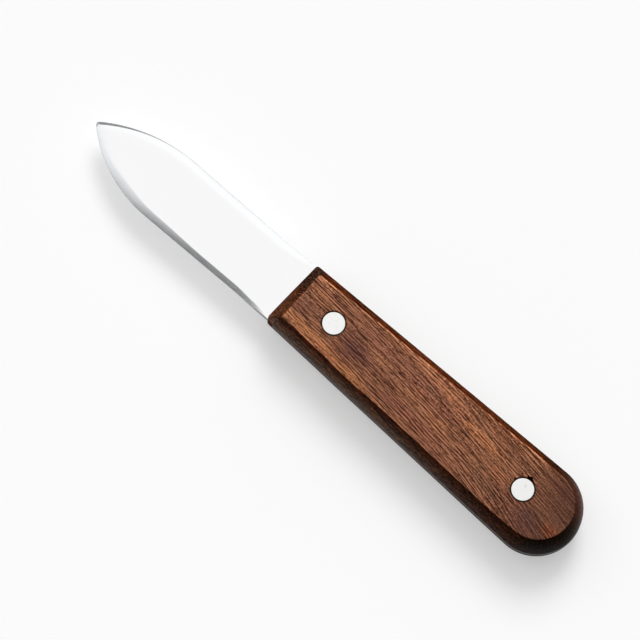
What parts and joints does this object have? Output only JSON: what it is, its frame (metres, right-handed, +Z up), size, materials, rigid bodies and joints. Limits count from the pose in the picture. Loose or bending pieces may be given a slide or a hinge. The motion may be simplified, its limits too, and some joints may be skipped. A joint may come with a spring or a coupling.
{
  "type": "oyster knife",
  "caption": "Short stiff shucking knife: a double-edged steel blade with a full tang, riveted between dark wooden handle scales.",
  "frame": {"origin": "under the middle of the whole knife, on the flat face of the bottom scale that it rests on", "axes": "+X along the knife from the blade's tip to the handle's butt, +Y across the blade towards its straighter edge, +Z up through the thickness of the handle"},
  "size_m": [0.17, 0.025, 0.016],
  "materials": {
    "blade_steel": "satin-brushed stainless steel, with coarser grinding marks on the edge grinds",
    "dark_wood": "oiled dark reddish-brown hardwood with fine dark pores and streaks along the handle",
    "rivet_metal": "sanded flush with the wood, dull and slightly mottled"
  },
  "bodies": {
    "root": {"blade": "blade_steel", "top_scale": "dark_wood", "bottom_scale": "dark_wood", "front_rivet_sleeve": "rivet_metal", "front_rivet_pin": "rivet_metal", "rear_rivet_sleeve": "rivet_metal", "rear_rivet_pin": "rivet_metal"}
  },
  "joints": []
}
